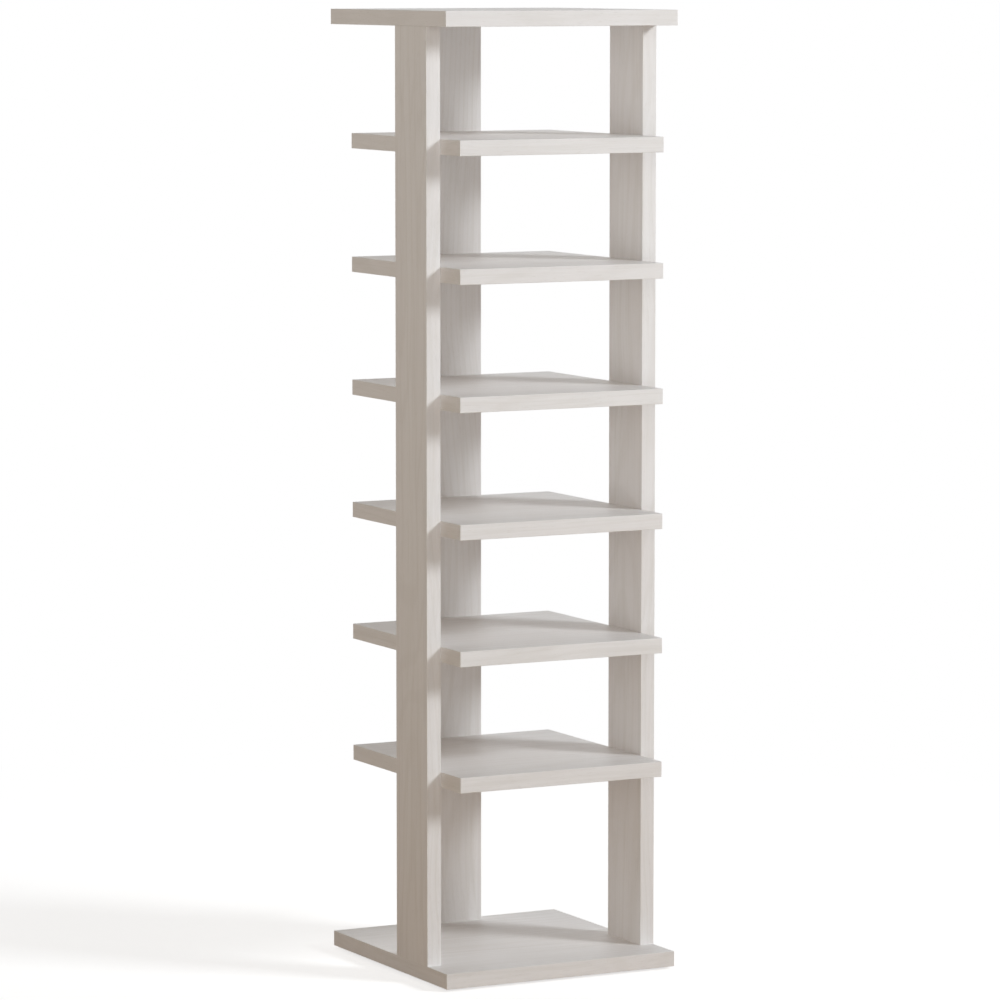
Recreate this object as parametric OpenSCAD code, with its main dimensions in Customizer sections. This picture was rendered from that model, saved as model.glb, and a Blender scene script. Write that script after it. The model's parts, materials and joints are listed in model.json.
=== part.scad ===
// Tall narrow shoe rack, knocked down into flat boards. Three equal uprights, one at each side and
// one at the middle of the back, carry a base panel, a top panel and a stack of equal shelves.
// Cam fittings and dowels hold the shelves. Long screws and dowels hold the two panels.
// Millimetres. X points right, Y back and Z up. The open front faces -Y, and the origin is on the
// floor under the middle of the rack.

/* [Boards] */
// Width of the base and top panels, from side to side
panel_w = 300; // [250:1:400]
// Depth of the base and top panels, from front to back
panel_d = 300; // [260:1:400]
// Thickness of every board
board_t = 18; // [16:0.5:22]
// Width of each upright
upright_w = 80; // [72:1:110]
// Distance of the side uprights behind the front edge
side_setback = 50; // [10:1:80]

/* [Levels] */
// Number of shelves between the base panel and the top panel
shelf_count = 6; // [1:1:7]
// Clear height above each shelf
shelf_gap = 128; // [90:1:220]
// Clear height between the base panel and the lowest shelf
lowest_gap = 209; // [90:1:350]

/* [Edge bands] */
// Thickness of the band on each cut edge
band_t = 1; // [0.4:0.1:2]
// Rounding of a band's long outer edges
band_round = 0.5; // [0.2:0.1:1]
// Gap between the ends of two bands at a board's corner
band_gap = 0.1; // [0.05:0.05:0.3]

/* [Cam fittings] */
// Distance from an upright's face to a cam lock's centre
cam_reach = 34; // [30:1:45]
// Diameter of a cam lock
cam_d = 14.8; // [14:0.1:18]
// Gap all round a cam lock in its bore
cam_clear = 0.1; // [0.05:0.05:0.3]
// Depth of a cam's bore beyond the cam bolt's axis
cam_over = 4.5; // [4.2:0.1:5.5]
// Distance from the shelf's underside up to a cam lock's face
cam_sink = 0.3; // [0.1:0.1:0.8]
// Gap all round a cam bolt's head in the cam lock
cam_play = 1.1; // [1:0.1:1.4]
// Width of each arm of the cross in a cam lock's face
cross_w = 1.4; // [1.2:0.1:2]
// Length of each arm of the cross, from tip to tip
cross_l = 7.4; // [6:0.1:9]
// Depth of the cross
cross_h = 2.4; // [1.5:0.1:3]
// Diameter of a cam bolt's head
bolt_head_d = 7; // [6.4:0.1:7.4]
// Length of the full width of that head
bolt_head_l = 3.4; // [2:0.1:4]
// Diameter of the neck behind the head
bolt_neck_d = 3.6; // [3:0.1:4.2]
// Diameter of a cam bolt's shank
bolt_shank_d = 6; // [5:0.1:7]
// Diameter of the collar that stops a cam bolt at the upright's face
bolt_collar_d = 7.6; // [7.2:0.1:8.4]
// Thickness of that collar
bolt_collar_t = 1.2; // [0.8:0.1:2.5]
// Diameter over a cam bolt's thread
bolt_thread_d = 6.2; // [5.4:0.1:7]
// Length of that thread
bolt_thread_l = 11; // [8:0.5:13]
// Diameter of a cap over a cam lock
cam_cap_d = 17; // [16:0.5:20]
// Thickness of that cap below the shelf
cam_cap_t = 0.8; // [0.5:0.1:2]

/* [Dowels] */
// Diameter of every dowel
dowel_d = 8; // [6:0.5:10]
// Length of every dowel
dowel_l = 30; // [25:1:35]
// Length of a dowel that lies in a board's face
dowel_seat = 11.5; // [8:0.5:13]
// Distance from a cam bolt to each of the two dowels beside it
dowel_offset = 24; // [15:1:28]
// Number of glue grooves round a dowel
dowel_flutes = 8; // [4:1:16]
// Width of each side of a glue groove, which is a square corner cut into the dowel
flute_w = 0.8; // [0.4:0.1:1.2]

/* [Panel screws] */
// Length of a panel screw
screw_l = 50; // [40:1:60]
// Diameter of its shank and over its thread
screw_d = 7; // [6:0.1:8]
// Diameter at the root of its thread
screw_core_d = 5; // [4:0.1:5.6]
// Diameter of its head
screw_head_d = 10; // [9:0.1:11]
// Height of the head's straight rim
screw_rim = 0.6; // [0.3:0.1:1.5]
// Length of the plain shank, measured from the top of the head
screw_plain_l = 14; // [8:1:20]
// Width across the flats of its hexagon socket
socket_w = 4; // [3:0.1:5]
// Depth of the socket
socket_h = 3; // [2:0.1:4]
// Depth of a screw's head below the panel's face
screw_sink = 2; // [1.5:0.1:3]
// Distance from the middle of an upright to each of its two screws
screw_offset = 25; // [18:1:27]
// Diameter of the flush cap over a screw
screw_cap_d = 12; // [11.5:0.1:12.5]
// Gap all round that cap
screw_cap_clear = 0.15; // [0.05:0.05:0.3]

/* [Feet] */
// Diameter of a foot glide
glide_d = 22; // [16:1:30]
// Thickness of a foot glide
glide_t = 3; // [2:0.5:8]
// Distance from the panel's edges to the centre of a foot glide
glide_inset = 30; // [20:1:45]
// Diameter of a glide's nail
nail_d = 2; // [1.5:0.1:2.5]
// Length of the nail in the base panel
nail_l = 12; // [8:0.5:14]
// Diameter of the nail's head
nail_head_d = 7; // [5:0.5:9]
// Thickness of the nail's head
nail_head_t = 1; // [0.6:0.1:1.5]

/* [Fits] */
// Gap all round a dowel, bolt, screw or nail in its hole
hole_clear = 0.1; // [0.05:0.05:0.3]
// Depth of a blind hole beyond what stands in it
hole_spare = 0.5; // [0.2:0.1:1.5]

/* [Hidden] */
$fn = 48;
board_colour = [0.87, 0.85, 0.83];
band_colour = [0.89, 0.87, 0.85];
steel_colour = [0.72, 0.72, 0.73];
zinc_colour = [0.62, 0.63, 0.65];
beech_colour = [0.82, 0.66, 0.46];
cap_colour = [0.85, 0.83, 0.80];
glide_colour = [0.80, 0.79, 0.77];

// A cut runs this far past the face it opens in
past = 1;
// A chamfer at a dowel's ends and round a glide's lower edge
dowel_chamfer = 1;
glide_chamfer = 0.8;
// A rounding is at most half the thickness of the band it is on
band_r = min(band_round, band_t / 2);

// Inner face of the side uprights, and front face of the back upright
inner_x = panel_w / 2 - board_t;
inner_y = panel_d / 2 - board_t;
// Middle of the side uprights, from front to back
side_y = side_setback + upright_w / 2 - panel_d / 2;
shelf_w = 2 * inner_x;
shelf_d = panel_d / 2 + inner_y;
// Heights of the base panel's top, the top panel's underside and each shelf's underside
base_top = glide_t + board_t;
top_z = base_top + lowest_gap + shelf_count * (board_t + shelf_gap);
function shelf_z(i) = base_top + lowest_gap + (i - 1) * (board_t + shelf_gap);
upright_l = top_z - base_top;

// An upright's place is the middle of its inner face
left_place = [-inner_x, side_y];
right_place = [inner_x, side_y];
back_place = [0, inner_y];
places = [left_place, right_place, back_place];
// The turn that points X from an upright into the rack
function turn_in(place) = place[0] < 0 ? 0 : place[0] > 0 ? 180 : -90;

// Sizes inside a cam lock, whose origin is at its face below the bolt's axis
cam_bore_h = board_t / 2 + cam_over;
cam_h = cam_bore_h - cam_sink;
cam_axis = board_t / 2 - cam_sink;
chamber_r = bolt_head_d / 2 + cam_play;
slot_play = 0.4;
chamber_low = cam_axis - bolt_head_d / 2 - slot_play;
mouth_w = bolt_head_d + 2 * slot_play;
slot_h = bolt_neck_d + 2 * slot_play;
// The slot runs from the mouth half way round, and on until it clears the neck
slot_turn = 180 + asin(slot_h / 2 / chamber_r);
cam_chamfer = 0.4;
cross_play = 0.15;
cross_cap_h = 1.6;

// Lengths along a cam bolt, from the upright's face
bolt_touch = 0.2;
bolt_neck_start = cam_reach - cam_d / 2 - past;
bolt_head_start = cam_reach - chamber_r + bolt_touch;
bolt_cone = (bolt_head_d - bolt_neck_d) / 2;
bolt_tip = 1.2;
bolt_tip_d = bolt_head_d - 2 * bolt_tip;
bolt_pitch = 2.2;
bolt_thread_h = 0.8;
bolt_core_d = bolt_thread_d - 2 * bolt_thread_h;
bolt_cross = [1.1, 3.2, 1.4];
collar_clear = 0.2;
bolt_bore_d = bolt_collar_d + 2 * collar_clear;

// Lengths along a panel screw, from the top of its head
screw_cone = (screw_head_d - screw_d) / 2;
screw_pitch = 3;
screw_tip = 4;
screw_tip_d = 2;
nail_tip = 3;

SHELF_PARTS = ["", "_edge_bands", "_cam_bolts", "_cam_locks", "_cam_caps", "_dowels"];

// Placing

// Puts its children at one upright, with the origin at the height given
module at_place(place, z) {
    translate([place[0], place[1], z])
        rotate(turn_in(place))
            children();
}

// Puts its children at the middle of all three joints of a shelf that stands on Z = 0
module at_shelf_joints() {
    for (place = places)
        at_place(place, board_t / 2)
            children();
}

// Puts its children at the middle of all three uprights' ends
module at_upright_ends(z) {
    for (place = places)
        at_place(place, z)
            translate([-board_t / 2, 0, 0])
                children();
}

// Puts its children at the two screws of an upright's end
module at_screws() {
    for (side = [-1, 1])
        translate([0, side * screw_offset, 0])
            children();
}

// Puts its children at the four feet
module at_feet() {
    for (x = [-1, 1], y = [-1, 1])
        translate([x * (panel_w / 2 - glide_inset), y * (panel_d / 2 - glide_inset), 0])
            children();
}

// Turns what is drawn along Z so that it lies along X
module along_x() {
    rotate([0, 90, 0])
        children();
}

// Drillings

module hole_along_x(d, from, to) {
    translate([from, 0, 0])
        along_x()
            cylinder(d = d + 2 * hole_clear, h = to - from);
}

// What a joint takes out of a shelf, from the middle of the joint
module shelf_drilling() {
    translate([-past, 0, 0])
        along_x()
            cylinder(d = bolt_bore_d, h = cam_reach + past);
    translate([cam_reach, 0, -board_t / 2 - past])
        cylinder(d = cam_d + 2 * cam_clear, h = cam_bore_h + past);
    for (side = [-1, 1])
        translate([0, side * dowel_offset, 0])
            hole_along_x(dowel_d, -past, dowel_l - dowel_seat + hole_spare);
}

// What a joint takes out of an upright's inner face
module upright_face_drilling() {
    hole_along_x(bolt_thread_d, -bolt_thread_l - hole_spare, past);
    for (side = [-1, 1])
        translate([0, side * dowel_offset, 0])
            hole_along_x(dowel_d, -dowel_seat - hole_spare, past);
}

// What the screws and the dowel take out of an upright's end, downwards from Z = 0
module upright_end_drilling() {
    screw_depth = screw_sink + screw_l - board_t + hole_spare;
    dowel_depth = dowel_l - dowel_seat + hole_spare;
    at_screws()
        translate([0, 0, -screw_depth])
            cylinder(d = screw_d + 2 * hole_clear, h = screw_depth + past);
    translate([0, 0, -dowel_depth])
        cylinder(d = dowel_d + 2 * hole_clear, h = dowel_depth + past);
}

// What they take out of a panel that lies on Z = 0 with its outer face up
module panel_drilling() {
    at_screws() {
        translate([0, 0, -past])
            cylinder(d = screw_d + 2 * hole_clear, h = board_t + 2 * past);
        translate([0, 0, board_t - screw_sink])
            mirror([0, 0, 1])
                screw_head(hole_clear);
        translate([0, 0, board_t - screw_sink])
            cylinder(d = screw_cap_d + 2 * screw_cap_clear, h = screw_sink + past);
    }
    translate([0, 0, -past])
        cylinder(d = dowel_d + 2 * hole_clear, h = past + dowel_seat + hole_spare);
}

// Boards and their edge bands

// A band's section: X is outwards from the cut edge, and Y is across the board's thickness
module band_section() {
    square([band_t - band_r, board_t]);
    translate([0, band_r])
        square([band_t, board_t - 2 * band_r]);
    for (y = [band_r, board_t - band_r])
        translate([band_t - band_r, y])
            circle(r = band_r);
}

// A band of length l along X, standing on Z = 0 with its inner face on Y = 0
module band(l) {
    rotate([90, 0, 90])
        linear_extrude(l, center = true)
            band_section();
}

// The part of a w by d board that lies within its bands
module core(w, d) {
    translate([band_t - w / 2, band_t - d / 2, 0])
        cube([w - 2 * band_t, d - 2 * band_t, board_t]);
}

// Four bands round a w by d board. The front and back bands cover the ends of the side bands,
// which lie between them with a hairline gap.
module bands(w, d) {
    for (turn = [0, 180])
        rotate(turn) {
            translate([0, d / 2 - band_t, 0])
                band(w);
            rotate(90)
                translate([0, w / 2 - band_t, 0])
                    band(d - 2 * band_t - 2 * band_gap);
        }
}

// Moves its children from the middle of a shelf to the shelf's place
module shelf_middle() {
    translate([0, (inner_y - panel_d / 2) / 2, 0])
        children();
}

module shelf(i) {
    color(board_colour)
        translate([0, 0, shelf_z(i)])
            difference() {
                shelf_middle()
                    core(shelf_w, shelf_d);
                at_shelf_joints()
                    shelf_drilling();
            }
}

module shelf_edge_bands(i) {
    color(band_colour)
        translate([0, 0, shelf_z(i)])
            difference() {
                shelf_middle()
                    bands(shelf_w, shelf_d);
                at_shelf_joints()
                    shelf_drilling();
            }
}

// A panel lying on Z = 0 with its outer face up
module panel() {
    difference() {
        core(panel_w, panel_d);
        at_upright_ends(0)
            panel_drilling();
    }
}

module top_panel() {
    color(board_colour)
        translate([0, 0, top_z])
            panel();
}

module top_edge_bands() {
    color(band_colour)
        translate([0, 0, top_z])
            bands(panel_w, panel_d);
}

module base_panel() {
    color(board_colour)
        difference() {
            translate([0, 0, base_top])
                mirror([0, 0, 1])
                    panel();
            at_feet()
                translate([0, 0, glide_t - past])
                    cylinder(d = nail_d + 2 * hole_clear, h = past + nail_l + hole_spare);
        }
}

module base_edge_bands() {
    color(band_colour)
        translate([0, 0, glide_t])
            bands(panel_w, panel_d);
}

// An upright with the middle of its inner face's foot at the origin and its thickness towards -X
module upright(place) {
    color(board_colour)
        at_place(place, base_top)
            difference() {
                translate([-board_t, band_t - upright_w / 2, 0])
                    cube([board_t, upright_w - 2 * band_t, upright_l]);
                for (i = [1:shelf_count])
                    translate([0, 0, shelf_z(i) + board_t / 2 - base_top])
                        upright_face_drilling();
                translate([-board_t / 2, 0, 0]) {
                    translate([0, 0, upright_l])
                        upright_end_drilling();
                    mirror([0, 0, 1])
                        upright_end_drilling();
                }
            }
}

module upright_edge_bands(place) {
    color(band_colour)
        at_place(place, base_top)
            for (side = [0, 1])
                mirror([0, side, 0])
                    translate([0, upright_w / 2 - band_t, 0])
                        rotate(90)
                            linear_extrude(upright_l)
                                band_section();
}

// Fasteners

// Half the outline of a threaded rod: one tooth in each pitch, from z = 0 up to about l
function thread(core_r, crest_r, pitch, l) = [
    for (k = [0:floor(l / pitch) - 1])
        each [
            [core_r, k * pitch],
            [crest_r, (k + 0.4) * pitch],
            [crest_r, (k + 0.5) * pitch],
            [core_r, (k + 0.9) * pitch]
        ]
];

// A cam bolt along Z: the thread is below Z = 0 in the upright, and the head is up in the cam lock
module cam_bolt() {
    teeth = thread(bolt_core_d / 2, bolt_thread_d / 2, bolt_pitch, bolt_thread_l);
    head_end = bolt_head_start + bolt_cone + bolt_head_l;
    difference() {
        rotate_extrude()
            polygon(concat(
                [[0, -bolt_thread_l]],
                [for (p = teeth) [p[0], p[1] - bolt_thread_l]],
                [
                    [bolt_core_d / 2, 0],
                    [bolt_collar_d / 2, 0],
                    [bolt_collar_d / 2, bolt_collar_t],
                    [bolt_shank_d / 2, bolt_collar_t],
                    [bolt_shank_d / 2, bolt_neck_start],
                    [bolt_neck_d / 2, bolt_neck_start],
                    [bolt_neck_d / 2, bolt_head_start],
                    [bolt_head_d / 2, bolt_head_start + bolt_cone],
                    [bolt_head_d / 2, head_end],
                    [bolt_tip_d / 2, head_end + bolt_tip],
                    [0, head_end + bolt_tip]
                ]
            ));
        for (turn = [0, 90])
            rotate(turn)
                translate([-bolt_cross[0] / 2, -bolt_cross[1] / 2, head_end + bolt_tip - bolt_cross[2]])
                    cube([bolt_cross[0], bolt_cross[1], bolt_cross[2] + past]);
    }
}

// A cam lock standing on its slotted face. The bolt comes in from -X at the height cam_axis.
module cam_lock() {
    difference() {
        rotate_extrude()
            polygon([
                [0, 0],
                [cam_d / 2 - cam_chamfer, 0],
                [cam_d / 2, cam_chamfer],
                [cam_d / 2, cam_h],
                [0, cam_h]
            ]);
        translate([0, 0, chamber_low])
            cylinder(r = chamber_r, h = cam_h - chamber_low + past);
        translate([0, -mouth_w / 2, chamber_low])
            cube([cam_d, mouth_w, cam_h - chamber_low + past]);
        rotate_extrude(angle = slot_turn)
            translate([0, cam_axis - slot_h / 2])
                square([cam_d, slot_h]);
        cross_bars(cross_w, cross_l, -past, cross_h);
    }
}

// A cross of two bars between two heights
module cross_bars(w, l, low, high) {
    for (turn = [0, 90])
        rotate(turn)
            translate([-w / 2, -l / 2, low])
                cube([w, l, high - low]);
}

// A cap under a cam lock: a disc on the shelf's underside, with a cross that clips into the lock's
module cam_cap() {
    translate([0, 0, -cam_cap_t])
        cylinder(d = cam_cap_d, h = cam_cap_t);
    cross_bars(cross_w - 2 * cross_play, cross_l - 2 * cross_play, -cam_cap_t / 2, cam_sink + cross_cap_h);
}

// A grooved dowel along Z, from z = -dowel_seat up
module dowel() {
    translate([0, 0, -dowel_seat])
        intersection() {
            linear_extrude(dowel_l)
                difference() {
                    circle(d = dowel_d);
                    for (k = [1:dowel_flutes])
                        rotate(360 * k / dowel_flutes)
                            translate([dowel_d / 2, 0])
                                rotate(45)
                                    square(flute_w, center = true);
                }
            rotate_extrude()
                polygon([
                    [0, 0],
                    [dowel_d / 2 - dowel_chamfer, 0],
                    [dowel_d / 2, dowel_chamfer],
                    [dowel_d / 2, dowel_l - dowel_chamfer],
                    [dowel_d / 2 - dowel_chamfer, dowel_l],
                    [0, dowel_l]
                ]);
        }
}

// The outside of a screw's head, downwards along Z as z grows, wider all round by the gap given
module screw_head(gap) {
    cylinder(d = screw_head_d + 2 * gap, h = screw_rim);
    translate([0, 0, screw_rim])
        cylinder(d1 = screw_head_d + 2 * gap, d2 = screw_d + 2 * gap, h = screw_cone);
}

// A panel screw with the top of its head at the origin and its tip up along Z
module panel_screw() {
    teeth = thread(screw_core_d / 2, screw_d / 2, screw_pitch, screw_l - screw_plain_l - screw_tip);
    difference() {
        union() {
            screw_head(0);
            rotate_extrude()
                polygon(concat(
                    [[0, 0], [screw_d / 2, 0], [screw_d / 2, screw_plain_l]],
                    [for (p = teeth) [p[0], p[1] + screw_plain_l]],
                    [
                        [screw_core_d / 2, screw_l - screw_tip],
                        [screw_tip_d / 2, screw_l],
                        [0, screw_l]
                    ]
                ));
        }
        translate([0, 0, -past])
            hexagon(socket_w, socket_h + past);
    }
}

// A hexagonal bar of width w across its flats
module hexagon(w, h) {
    cylinder(d = w / cos(30), h = h, $fn = 6);
}

// A flush cap over a panel screw, from its face on Z = 0 down to the screw and into its socket
module screw_cap() {
    translate([0, 0, -screw_sink])
        cylinder(d = screw_cap_d, h = screw_sink);
    translate([0, 0, -screw_sink - socket_h + hole_spare])
        hexagon(socket_w - 2 * hole_clear, socket_h);
}

// A foot glide on the floor, with a pocket in its top for the nail's head
module foot_glide() {
    difference() {
        rotate_extrude()
            polygon([
                [0, 0],
                [glide_d / 2 - glide_chamfer, 0],
                [glide_d / 2, glide_chamfer],
                [glide_d / 2, glide_t],
                [0, glide_t]
            ]);
        translate([0, 0, glide_t - nail_head_t])
            cylinder(d = nail_head_d + 2 * hole_clear, h = nail_head_t + past);
    }
}

// A glide's nail: its head lies in the glide, and its shank stands in the base panel
module glide_nail() {
    rotate_extrude()
        polygon([
            [0, glide_t - nail_head_t],
            [nail_head_d / 2, glide_t - nail_head_t],
            [nail_head_d / 2, glide_t],
            [nail_d / 2, glide_t],
            [nail_d / 2, glide_t + nail_l - nail_tip],
            [0, glide_t + nail_l]
        ]);
}

// Groups of fasteners

module shelf_cam_bolts(i) {
    color(steel_colour)
        translate([0, 0, shelf_z(i)])
            at_shelf_joints()
                along_x()
                    cam_bolt();
}

module shelf_cam_locks(i) {
    color(zinc_colour)
        translate([0, 0, shelf_z(i)])
            at_shelf_joints()
                translate([cam_reach, 0, cam_sink - board_t / 2])
                    cam_lock();
}

module shelf_cam_caps(i) {
    color(cap_colour)
        translate([0, 0, shelf_z(i)])
            at_shelf_joints()
                translate([cam_reach, 0, -board_t / 2])
                    cam_cap();
}

module shelf_dowels(i) {
    color(beech_colour)
        translate([0, 0, shelf_z(i)])
            at_shelf_joints()
                for (side = [-1, 1])
                    translate([0, side * dowel_offset, 0])
                        along_x()
                            dowel();
}

module top_screws() {
    color(steel_colour)
        at_upright_ends(top_z + board_t - screw_sink)
            at_screws()
                mirror([0, 0, 1])
                    panel_screw();
}

module top_screw_caps() {
    color(cap_colour)
        at_upright_ends(top_z + board_t)
            at_screws()
                screw_cap();
}

module top_dowels() {
    color(beech_colour)
        at_upright_ends(top_z)
            mirror([0, 0, 1])
                dowel();
}

module base_screws() {
    color(steel_colour)
        at_upright_ends(glide_t + screw_sink)
            at_screws()
                panel_screw();
}

module base_dowels() {
    color(beech_colour)
        at_upright_ends(base_top)
            dowel();
}

module foot_glides() {
    color(glide_colour)
        at_feet()
            foot_glide();
}

module glide_nails() {
    color(steel_colour)
        at_feet()
            glide_nail();
}

base_panel();
base_edge_bands();
top_panel();
top_edge_bands();
upright(left_place);  // left_upright
upright_edge_bands(left_place);  // left_edge_bands
upright(right_place);  // right_upright
upright_edge_bands(right_place);  // right_edge_bands
upright(back_place);  // back_upright
upright_edge_bands(back_place);  // back_edge_bands
for (i = [1:shelf_count]) {
    shelf(i);
    shelf_edge_bands(i);
    shelf_cam_bolts(i);
    shelf_cam_locks(i);
    shelf_cam_caps(i);
    shelf_dowels(i);
}
top_screws();
top_screw_caps();
top_dowels();
base_screws();
base_dowels();
foot_glides();
glide_nails();
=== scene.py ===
"""Looks of the shoe rack: its finishes, the camera, the light and the floor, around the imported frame."""
import json
import math

import bpy
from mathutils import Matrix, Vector

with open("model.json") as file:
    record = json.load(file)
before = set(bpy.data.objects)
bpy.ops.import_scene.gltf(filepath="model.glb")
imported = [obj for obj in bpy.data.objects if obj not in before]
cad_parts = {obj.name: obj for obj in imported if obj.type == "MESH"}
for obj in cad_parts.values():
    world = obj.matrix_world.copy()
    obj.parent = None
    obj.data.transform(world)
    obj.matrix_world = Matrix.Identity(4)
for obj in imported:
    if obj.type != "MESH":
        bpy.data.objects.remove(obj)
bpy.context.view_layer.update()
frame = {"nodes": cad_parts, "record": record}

# The camera, found from the edges of the boards: place in metres, turn to the right of +Y and tilt below
# the horizon in degrees, and lens and sensor in millimetres
CAMERA_PLACE = (-2.736, -5.252, 1.179)
CAMERA_TURN = 27.49
CAMERA_TILT = 6.08
CAMERA_LENS = 181.9
CAMERA_SENSOR = 36.0

# The softboxes: the key in front of the rack and to its right, and a low one that fills its back. Place,
# aim, and width by height are in metres, and power is in watts.
SOFTBOXES = {
    "key": {
        "place": (3.56, -4.05, 3.4),
        "aim": (0.0, 0.0, 0.6),
        "size": (1.4, 1.4),
        "power": 219.0,
        "colour": (0.925, 0.967, 1.0),
    },
    "rear": {
        "place": (0.4, 3.7, 0.4),
        "aim": (0.0, 0.0, 0.5),
        "size": (1.6, 0.7),
        "power": 54.0,
        "colour": (1.0, 0.98, 0.96),
    },
}

# Light that the room's white walls give, on everything but the camera: for each wall the direction that it
# lies in, how narrow it is as a power of the cosine with that direction, and its radiance in red, green
# and blue
WALLS = [
    {"direction": (-0.5, -0.866, 0), "narrowness": 6.0, "radiance": (1.86, 1.88, 1.88)},
    {"direction": (0.33, 0.94, 0), "narrowness": 1.0, "radiance": (0.57, 0.56, 0.55)},
    {"direction": (-1, 0, 0), "narrowness": 1.0, "radiance": (0.20, 0.14, 0.07)},
]
WHITE = (1.0, 1.0, 1.0, 1.0)

# The floor: half its width, how much of the rack's shadow the camera sees near the rack, the distances
# between which that fades out, and the reflectance at which the lit floor is white. Widths are in metres.
FLOOR_HALF = 2.0
FLOOR_SHADOW = 0.30
SHADOW_FADE = (0.5, 1.6)
SHADOW_WHITE = 2.0
# The light wood that throws light back on the rack: its two tones in sRGB steps, and how many clouds of them
# it has to the metre
FLOOR_WOOD = ((172, 138, 97), (184, 150, 109))
FLOOR_CLOUDS = 14.0

# The values between which most of a noise lies
NOISE_RANGE = (0.3, 0.7)
# The cosines, between the flat surface and its rounded form, at which an edge starts and is full, and the
# samples that the rounding takes
EDGE_RANGE = (0.99, 0.80)
EDGE_SAMPLES = 4

# The foil's wood grain: how many features each pattern has to the metre, along the grain and across it
FOIL_GRAIN = {
    "wander": (2.2, 5.0),
    "loops": (1.3, 9.0),
    "board": (1.5, 16.0),
    "streaks": (4.0, 170.0),
    "fibres": (20.0, 900.0),
    "pores": (85.0, 1900.0),
}
# The values between which each pattern comes up
FOIL_RANGES = {
    "board": NOISE_RANGE,
    "streaks": (0.42, 0.72),
    "growth": (0.2, 1.0),
    "fibres": (0.5, 0.8),
    "pores": (0.64, 0.74),
}
# How far the lines wander, how far the growth lines bend into loops and how far apart they are, and the
# width of the paler arrises, which are partly wear and partly a painted highlight, all in metres
WANDER_WIDTH = 0.05
LOOP_WIDTH = 0.16
GROWTH_SPACING = 0.0105
FOIL_ARRIS = 0.0008
# The paper's tone in sRGB steps, and what is printed, worn and painted over it, in order: its tone, and how
# much of it shows. The paler arrises are partly wear and partly a painted highlight.
FOIL_PAPER = (242, 240, 239)
FOIL_PRINT_WEAR_AND_HIGHLIGHT = {
    "board": ((239, 236, 235), 1.0),
    "streaks": ((231, 228, 225), 0.65),
    "growth": ((227, 223, 219), 0.26),
    "fibres": ((246, 244, 243), 0.4),
    "pores": ((213, 206, 200), 0.30),
    # The paler arrises: partly wear, partly a painted highlight along every edge
    "arris": ((247, 245, 244), 0.35),
}
# The embossing: the pores' depth in metres, and how far fibres stand up and growth lines lie low beside it
FOIL_RELIEF = 0.00006
FIBRE_RELIEF = 0.35
GROWTH_RELIEF = 0.25
# The fibres' values between which the roughness rises, the roughness at both, and what a pore adds
FIBRE_RANGE = (0.2, 0.8)
FOIL_ROUGHNESS = (0.40, 0.50)
PORE_ROUGHNESS = 0.2

# Plastics: tone in sRGB steps, roughness, and how many grains of the mould's texture they have to the metre
PLASTICS = {
    "cap_plastic": {"steps": (226, 222, 217), "roughness": 0.46, "texture": 2200.0},
    "glide_plastic": {"steps": (205, 203, 199), "roughness": 0.36, "texture": 1500.0},
}
# The texture's height in metres, and what it adds to the roughness
TEXTURE_RELIEF = 0.00003
TEXTURE_ROUGHNESS = 0.1
# Clouds to the metre, and how much of its light the plastic keeps in the darkest
PLASTIC_CLOUDS = 90.0
CLOUD_SHADE = 0.9
# Scuffs to the metre, the values between which they come up, and what they add to the roughness
PLASTIC_SCUFFS = 420.0
SCUFF_RANGE = (0.60, 0.72)
SCUFF_ROUGHNESS = 0.12
# The paler arrises, partly wear and partly a painted highlight: their width in metres, their tone in sRGB
# steps, and how much of it shows
PLASTIC_ARRIS = 0.0004
ARRIS_STEPS = (240, 238, 234)
ARRIS_SHARE = 0.4

# Metals: tone in sRGB steps, roughness, how many grains they have to the metre, and how many times closer
# their turning marks lie along Z than across it
METALS = {
    "zinc_plated_steel": {"steps": (196, 197, 199), "roughness": 0.24, "grains": 1400.0, "turning": 6.0},
    "cast_zinc": {"steps": (168, 170, 174), "roughness": 0.38, "grains": 2600.0, "turning": 1.0},
}
# The grains' height in metres, and what they add to the roughness
METAL_RELIEF = 0.00002
GRAIN_ROUGHNESS = 0.14
# Turning marks to the metre across Z, and their height beside that of the grains
METAL_MARKS = 900.0
MARK_RELIEF = 0.5
# Dulled patches to the metre, the values between which they come up, how much of its light the metal keeps
# in them, how much of that shows, and what they add to the roughness
DULL_PATCHES = 160.0
DULL_RANGE = (0.42, 0.68)
DULL_SHADE = 0.72
DULL_SHARE = 0.6
DULL_ROUGHNESS = 0.1
# The paler arrises, partly wear and partly a painted highlight: their width in metres, how much paler they
# are, and how much of that shows
METAL_ARRIS = 0.0003
ARRIS_WEAR_AND_HIGHLIGHT_SHADE = 1.25
ARRIS_WEAR_AND_HIGHLIGHT_SHARE = 0.6

# Bare beech: features of its grain and of its rays to the metre, along and across, the values between which
# the rays come up, the tones of both in sRGB steps, and how much of the rays shows
BEECH_GRAIN = (12.0, 220.0)
BEECH_TONES = ((226, 196, 154), (205, 170, 124))
BEECH_RAYS = (260.0, 1500.0)
RAY_RANGE = (0.62, 0.72)
RAY_STEPS = (158, 116, 76)
RAY_SHARE = 0.6
# Its roughness where the grain is pale and where it is dark, and the rays' depth in metres
BEECH_ROUGHNESS = (0.62, 0.74)
BEECH_RELIEF = 0.00005

# The pieces whose grain stands. The grain of all others lies.
STANDING_PIECES = {
    "left_upright", "right_upright", "back_upright",
    "left_edge_bands", "right_edge_bands", "back_edge_bands",
    "top_dowels", "base_dowels",
}


def tone(red, green, blue):
    """A shader's colour from the sRGB steps, 0 to 255, that it should show as"""
    linear = [((step / 255 + 0.055) / 1.055) ** 2.4 for step in (red, green, blue)]
    return (*linear, 1.0)


def shaded(colour, factor):
    """A shader's colour made darker or paler by a factor"""
    return (*(min(1.0, factor * value) for value in colour[:3]), 1.0)


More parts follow.
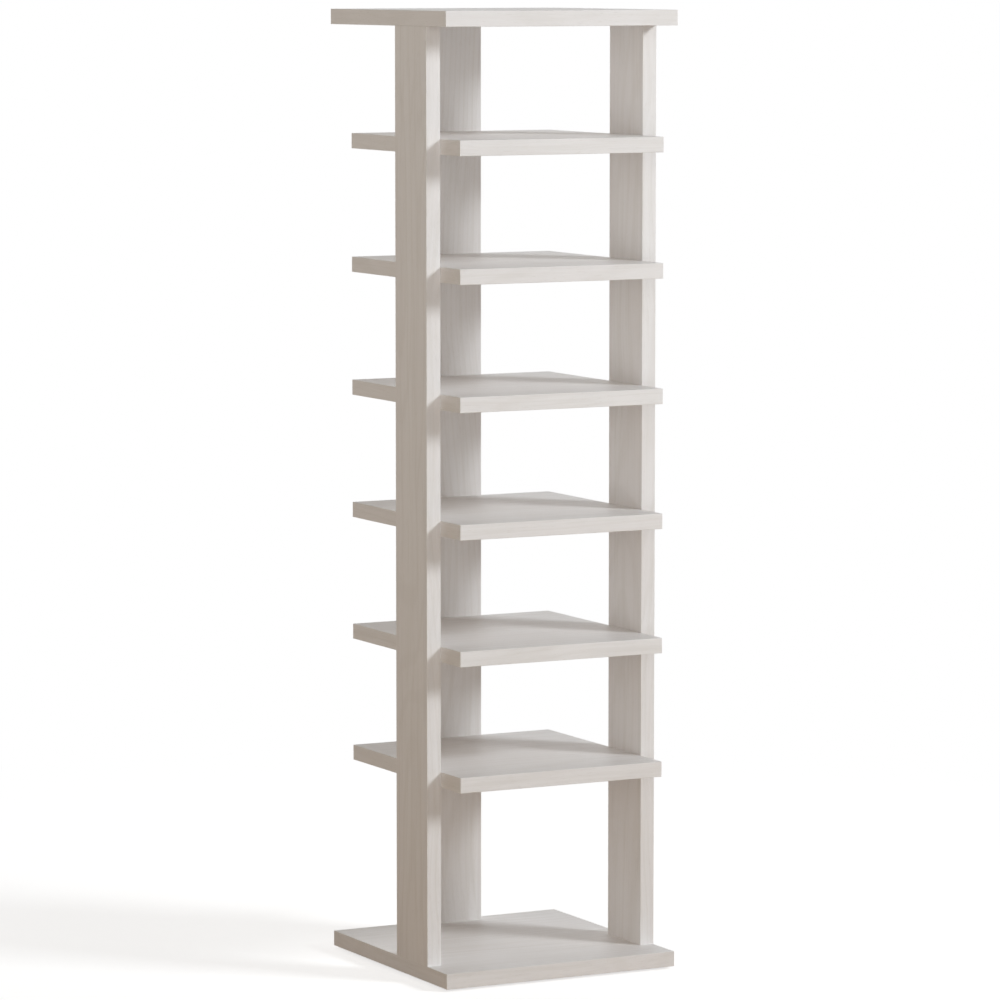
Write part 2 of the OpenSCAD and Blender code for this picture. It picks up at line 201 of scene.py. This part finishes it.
class Graph:
    """The nodes of one material or world. Each call adds nodes and returns the socket that they end in."""

    def __init__(self, owner):
        owner.use_nodes = True
        self.tree = owner.node_tree
        self.tree.nodes.clear()

    def node(self, kind, inputs=None, **settings):
        made = self.tree.nodes.new("ShaderNode" + kind)
        for name, value in settings.items():
            setattr(made, name, value)
        for name, value in (inputs or {}).items():
            if isinstance(value, bpy.types.NodeSocket):
                self.tree.links.new(value, made.inputs[name])
            else:
                made.inputs[name].default_value = value
        return made

    def math(self, operation, *values):
        return self.node("Math", dict(enumerate(values)), operation=operation).outputs[0]

    def vector(self, x, y, z):
        return self.node("CombineXYZ", {0: x, 1: y, 2: z}).outputs[0]

    def parts(self, vector):
        return self.node("SeparateXYZ", {0: vector}).outputs

    def place(self):
        return self.parts(self.node("TexCoord").outputs["Object"])

    def dot(self, a, b):
        return self.node("VectorMath", {0: a, 1: b}, operation="DOT_PRODUCT").outputs["Value"]

    def choose(self, factor, a, b):
        """a where factor is 0 and b where it is 1, for numbers"""
        return self.node("Mix", {0: factor, 2: a, 3: b}, data_type="FLOAT").outputs[0]

    def blend(self, factor, a, b):
        """The same for colours"""
        return self.node("Mix", {0: factor, 6: a, 7: b}, data_type="RGBA").outputs[2]

    def cover(self, colour, mask, share, over):
        """A colour with a share of another laid over it where the mask is 1"""
        return self.blend(self.math("MULTIPLY", mask, share), colour, over)

    def spread(self, value, low, high, to_low=0.0, to_high=1.0):
        """Smooth step of a value from low to high"""
        inputs = {0: value, 1: low, 2: high, 3: to_low, 4: to_high}
        return self.node("MapRange", inputs, interpolation_type="SMOOTHSTEP").outputs[0]

    def noise(self, vector, scale=1.0, detail=2.0, roughness=0.5):
        inputs = {"Vector": vector, "Scale": scale, "Detail": detail, "Roughness": roughness}
        return self.node("TexNoise", inputs).outputs["Fac"]

    def grain(self, axes, features, detail=2.0, roughness=0.5):
        """A noise with so many features to the metre along the first axis, and across it"""
        along, across = features
        scales = (along, across, across)
        drawn_out = [self.math("MULTIPLY", axis, scale) for axis, scale in zip(axes, scales)]
        return self.noise(self.vector(*drawn_out), detail=detail, roughness=roughness)

    def bump(self, height, depth):
        """A surface raised by depth, in metres, where height is 1"""
        return self.node("Bump", {"Height": height, "Distance": depth, "Strength": 1.0}).outputs[0]

    def edge(self, radius):
        """1 on an edge, and 0 further than radius from it"""
        rounded = self.node("Bevel", {"Radius": radius}, samples=EDGE_SAMPLES).outputs[0]
        flat = self.node("NewGeometry").outputs["Normal"]
        return self.spread(self.dot(rounded, flat), *EDGE_RANGE)

    def surface(self, **values):
        """Ends a material in a Principled shader. A value's name has _ for each space."""
        inputs = {name.replace("_", " "): value for name, value in values.items()}
        shader = self.node("BsdfPrincipled", inputs)
        self.node("OutputMaterial", {"Surface": shader.outputs[0]})


def grain_axes(graph, along):
    """A point's distance along the grain and its two distances across it"""
    x, y, z = graph.place()
    if along == "x":
        return x, y, z
    if along == "z":
        return z, x, y
    # The bands of a lying board: along X at the front and back, and along Y at the sides
    normal = graph.parts(graph.node("NewGeometry").outputs["Normal"])
    across_x = graph.math("ABSOLUTE", normal[0])
    across_y = graph.math("ABSOLUTE", normal[1])
    side = graph.math("GREATER_THAN", across_x, across_y)
    return graph.choose(side, x, y), graph.choose(side, y, x), z


def melamine(name, along, shift):
    """Off-white foil with a printed and embossed wood grain. shift moves the pattern, in metres."""
    material = bpy.data.materials.new(name)
    graph = Graph(material)
    u, v, w = grain_axes(graph, along)
    u = graph.math("ADD", u, shift)
    # The grain lines wander to either side along the board
    wander = graph.grain((u, v, w), FOIL_GRAIN["wander"])
    drift = graph.math("MULTIPLY", graph.math("SUBTRACT", wander, 0.5), WANDER_WIDTH)
    axes = (u, graph.math("ADD", v, drift), graph.math("ADD", w, drift))

    # Growth lines: evenly spaced across the grain, and bent into long loops where the grain wanders
    loops = graph.grain(axes, FOIL_GRAIN["loops"], detail=1.0)
    bent = graph.math("ADD", axes[1], graph.math("MULTIPLY", loops, LOOP_WIDTH))
    patterns = {
        "board": graph.grain(axes, FOIL_GRAIN["board"]),
        "streaks": graph.grain(axes, FOIL_GRAIN["streaks"], detail=3.0, roughness=0.6),
        "growth": graph.math("SINE", graph.math("MULTIPLY", bent, 2 * math.pi / GROWTH_SPACING)),
        "fibres": graph.grain(axes, FOIL_GRAIN["fibres"], roughness=0.6),
        "pores": graph.grain(axes, FOIL_GRAIN["pores"], detail=1.0),
    }
    masks = {layer: graph.spread(value, *FOIL_RANGES[layer]) for layer, value in patterns.items()}
    # Paler arrises along every edge: partly wear, partly a painted highlight
    masks["arris"] = graph.edge(FOIL_ARRIS)
    colour = tone(*FOIL_PAPER)
    for layer, (steps, share) in FOIL_PRINT_WEAR_AND_HIGHLIGHT.items():
        colour = graph.cover(colour, masks[layer], share, tone(*steps))

    raised = graph.math("MULTIPLY", patterns["fibres"], FIBRE_RELIEF)
    relief = graph.math("SUBTRACT", raised, masks["pores"])
    relief = graph.math("SUBTRACT", relief, graph.math("MULTIPLY", masks["growth"], GROWTH_RELIEF))
    roughness = graph.spread(patterns["fibres"], *FIBRE_RANGE, *FOIL_ROUGHNESS)
    roughness = graph.math("ADD", roughness, graph.math("MULTIPLY", masks["pores"], PORE_ROUGHNESS))
    graph.surface(Base_Color=colour, Roughness=roughness, Normal=graph.bump(relief, FOIL_RELIEF))
    return material


def plastic(name):
    """Injection-moulded plastic with a fine spark-eroded texture, slight scuffs, and paler edges that are
    partly worn and partly a painted highlight
    """
    look = PLASTICS[name]
    material = bpy.data.materials.new(name)
    graph = Graph(material)
    place = graph.vector(*graph.place())
    texture = graph.noise(place, look["texture"])
    clouds = graph.spread(graph.noise(place, PLASTIC_CLOUDS, detail=3.0), *NOISE_RANGE)
    scuffs = graph.spread(graph.noise(place, PLASTIC_SCUFFS, detail=4.0, roughness=0.7), *SCUFF_RANGE)

    plain = tone(*look["steps"])
    colour = graph.blend(clouds, plain, shaded(plain, CLOUD_SHADE))
    # Paler arrises along every edge: partly wear, partly a painted highlight
    colour = graph.cover(colour, graph.edge(PLASTIC_ARRIS), ARRIS_SHARE, tone(*ARRIS_STEPS))
    smoothest = look["roughness"]
    roughness = graph.spread(texture, *NOISE_RANGE, smoothest, smoothest + TEXTURE_ROUGHNESS)
    roughness = graph.math("ADD", roughness, graph.math("MULTIPLY", scuffs, SCUFF_ROUGHNESS))
    graph.surface(Base_Color=colour, Roughness=roughness, Normal=graph.bump(texture, TEXTURE_RELIEF))
    return material


def metal(name):
    """Plated or cast metal with a fine grain, faint turning marks, dulled patches, and paler edges that are
    partly worn and partly a painted highlight
    """
    look = METALS[name]
    material = bpy.data.materials.new(name)
    graph = Graph(material)
    x, y, z = graph.place()
    place = graph.vector(x, y, z)
    turned = graph.vector(x, y, graph.math("MULTIPLY", z, look["turning"]))
    grains = graph.noise(place, look["grains"], detail=3.0)
    marks = graph.noise(turned, METAL_MARKS, detail=1.0)
    dull = graph.spread(graph.noise(place, DULL_PATCHES, detail=3.0), *DULL_RANGE)

    plain = tone(*look["steps"])
    colour = graph.cover(plain, dull, DULL_SHARE, shaded(plain, DULL_SHADE))
    # Paler arrises along every edge: partly wear, partly a painted highlight
    colour = graph.cover(colour, graph.edge(METAL_ARRIS), ARRIS_WEAR_AND_HIGHLIGHT_SHARE, shaded(plain, ARRIS_WEAR_AND_HIGHLIGHT_SHADE))
    smoothest = look["roughness"]
    roughness = graph.spread(grains, *NOISE_RANGE, smoothest, smoothest + GRAIN_ROUGHNESS)
    roughness = graph.math("ADD", roughness, graph.math("MULTIPLY", dull, DULL_ROUGHNESS))
    relief = graph.math("ADD", grains, graph.math("MULTIPLY", marks, MARK_RELIEF))
    normal = graph.bump(relief, METAL_RELIEF)
    graph.surface(Base_Color=colour, Metallic=1.0, Roughness=roughness, Normal=normal)
    return material


def bare_beech(name, along):
    """Unfinished beech with short dark rays and a fine open grain"""
    material = bpy.data.materials.new(name)
    graph = Graph(material)
    axes = grain_axes(graph, along)
    tint = graph.grain(axes, BEECH_GRAIN, detail=3.0)
    rays = graph.spread(graph.grain(axes, BEECH_RAYS, detail=1.0), *RAY_RANGE)
    pale, dark = (tone(*steps) for steps in BEECH_TONES)
    colour = graph.blend(graph.spread(tint, *NOISE_RANGE), pale, dark)
    colour = graph.cover(colour, rays, RAY_SHARE, tone(*RAY_STEPS))
    roughness = graph.spread(tint, *NOISE_RANGE, *BEECH_ROUGHNESS)
    normal = graph.bump(graph.math("SUBTRACT", tint, rays), BEECH_RELIEF)
    graph.surface(Base_Color=colour, Roughness=roughness, Normal=normal)
    return material


def dress_nodes():
    """Gives every piece of the frame its finish, from its slot and from whether its grain lies or stands"""
    plated = metal("zinc_plated_steel")
    cast = metal("cast_zinc")
    cap = plastic("cap_plastic")
    glide = plastic("glide_plastic")
    lying_and_standing = {
        "board": (melamine("melamine_lying", "x", 0.0), melamine("melamine_standing", "z", 0.7)),
        "edge_band": (melamine("edge_band_lying", "edge", 3.1), melamine("edge_band_standing", "z", 5.3)),
        "beech": (bare_beech("beech_lying", "x"), bare_beech("beech_standing", "z")),
        "plated_steel": (plated, plated),
        "zinc": (cast, cast),
        "cap_plastic": (cap, cap),
        "glide_plastic": (glide, glide),
    }
    for part in frame["record"]["subparts"]:
        lying, standing = lying_and_standing[part["material_slot"]]
        material = standing if part["node"] in STANDING_PIECES else lying
        for slot in frame["nodes"][part["node"]].material_slots:
            slot.material = material


def add_to_scene(name, data):
    """A new object in the scene that shows the data"""
    made = bpy.data.objects.new(name, data)
    bpy.context.scene.collection.objects.link(made)
    return made


def make_camera():
    data = bpy.data.cameras.new("camera")
    data.sensor_width = CAMERA_SENSOR
    data.lens = CAMERA_LENS
    camera = add_to_scene("camera", data)
    camera.location = CAMERA_PLACE
    camera.rotation_euler = (math.radians(90 - CAMERA_TILT), 0.0, -math.radians(CAMERA_TURN))
    bpy.context.scene.camera = camera


def make_softbox(name, place, aim, size, power, colour):
    data = bpy.data.lights.new(name, "AREA")
    data.shape = "RECTANGLE"
    data.size, data.size_y = size
    data.energy = power
    data.color = colour
    softbox = add_to_scene(name, data)
    # The lens doesn't see it, and gloss shows the white room alone, so it leaves no glare on the boards
    softbox.visible_camera = False
    softbox.visible_glossy = False
    softbox.location = place
    towards = Vector(aim) - Vector(place)
    softbox.rotation_euler = towards.to_track_quat("-Z", "Y").to_euler()


def seen_by_lens(graph):
    """1 for what the camera sees, also in gloss or through glass, and 0 for the light on the object"""
    path = graph.node("LightPath").outputs
    seen = graph.math("MAXIMUM", path["Is Camera Ray"], path["Is Glossy Ray"])
    return graph.math("MAXIMUM", seen, path["Is Transmission Ray"])


def make_world():
    """The light of the room's walls, and plain white for the camera"""
    world = bpy.data.worlds.new("room")
    bpy.context.scene.world = world
    graph = Graph(world)
    towards = graph.node("TexCoord").outputs["Generated"]
    light = graph.vector(0.0, 0.0, 0.0)
    for wall in WALLS:
        facing = graph.math("MAXIMUM", graph.dot(towards, wall["direction"]), 0.0)
        lit = graph.math("POWER", facing, wall["narrowness"])
        scaled = {0: wall["radiance"], "Scale": lit}
        share = graph.node("VectorMath", scaled, operation="SCALE").outputs[0]
        light = graph.node("VectorMath", {0: light, 1: share}, operation="ADD").outputs[0]
    room = graph.node("Background", {0: light, 1: 1.0}).outputs[0]
    white = graph.node("Background", {0: WHITE, 1: 1.0}).outputs[0]
    mixed = graph.node("MixShader", {0: seen_by_lens(graph), 1: room, 2: white})
    graph.node("OutputWorld", {"Surface": mixed.outputs[0]})


def floor_material():
    """White to the camera but for the rack's soft shadow, which fades out with distance"""
    material = bpy.data.materials.new("floor")
    graph = Graph(material)
    place = graph.vector(*graph.place())
    clouds = graph.noise(place, FLOOR_CLOUDS, detail=4.0)
    darker, paler = (tone(*steps) for steps in FLOOR_WOOD)
    wood = graph.node("BsdfDiffuse", {0: graph.blend(clouds, darker, paler)}).outputs[0]

    far = graph.node("VectorMath", {0: place}, operation="LENGTH").outputs["Value"]
    shadow = graph.node("BsdfDiffuse", {0: (SHADOW_WHITE, SHADOW_WHITE, SHADOW_WHITE, 1.0)}).outputs[0]
    glow = graph.node("Emission", {0: WHITE, 1: 1.0}).outputs[0]
    white = graph.spread(far, *SHADOW_FADE, 1.0 - FLOOR_SHADOW, 1.0)
    shown = graph.node("MixShader", {0: white, 1: shadow, 2: glow}).outputs[0]
    mixed = graph.node("MixShader", {0: seen_by_lens(graph), 1: wood, 2: shown})
    graph.node("OutputMaterial", {"Surface": mixed.outputs[0]})
    return material


def make_floor():
    mesh = bpy.data.meshes.new("floor")
    near, far = -FLOOR_HALF, FLOOR_HALF
    corners = [(near, near, 0.0), (far, near, 0.0), (far, far, 0.0), (near, far, 0.0)]
    mesh.from_pydata(corners, [], [(0, 1, 2, 3)])
    mesh.materials.append(floor_material())
    add_to_scene("floor", mesh)


bpy.context.scene.view_settings.view_transform = "Standard"
dress_nodes()
make_camera()
make_world()
for name, values in SOFTBOXES.items():
    make_softbox(name, **values)
make_floor()
